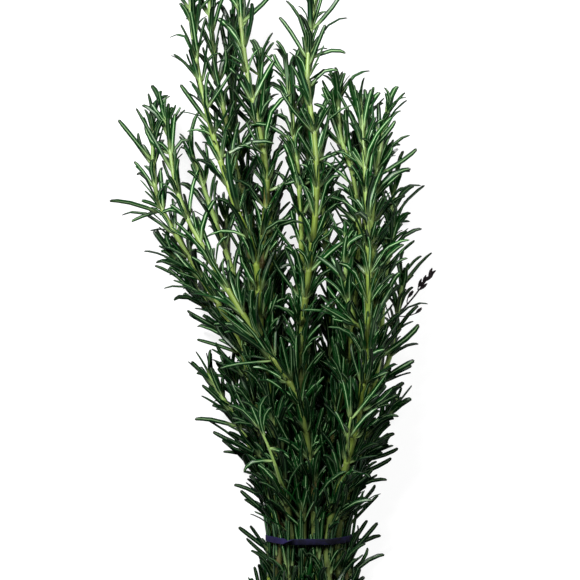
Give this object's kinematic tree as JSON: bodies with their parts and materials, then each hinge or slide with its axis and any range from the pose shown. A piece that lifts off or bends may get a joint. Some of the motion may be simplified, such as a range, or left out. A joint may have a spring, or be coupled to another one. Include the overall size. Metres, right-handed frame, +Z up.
{
  "type": "rosemary bunch",
  "caption": "Bunch of leafy rosemary sprigs held by a flat rubber band and lying on its side, for a kitchen, a market stall or a herb display.",
  "frame": {"origin": "under the centre of the bounding box, on the surface that the bunch lies on", "axes": "+Y along the bunch from the cut ends to the tips, +Z up from the surface, +X across the bunch to the right when seen from above with the tips away"},
  "size_m": [0.1678, 0.385, 0.0737],
  "materials": {
    "sprig": "waxy green leaves on a smooth yellow-green stem",
    "band": "matte"
  },
  "bodies": {
    "root": {"rubber_band": "band", "sprig_01": "sprig", "sprig_02": "sprig", "sprig_03": "sprig", "sprig_04": "sprig", "sprig_05": "sprig", "sprig_06": "sprig", "sprig_07": "sprig", "sprig_08": "sprig", "sprig_09": "sprig", "sprig_10": "sprig", "sprig_11": "sprig", "sprig_12": "sprig", "sprig_13": "sprig", "sprig_14": "sprig", "sprig_15": "sprig", "sprig_16": "sprig", "sprig_17": "sprig", "sprig_18": "sprig", "sprig_19": "sprig", "sprig_20": "sprig", "sprig_21": "sprig", "sprig_22": "sprig", "sprig_23": "sprig", "sprig_24": "sprig", "sprig_25": "sprig", "sprig_26": "sprig", "sprig_27": "sprig"}
  },
  "joints": []
}
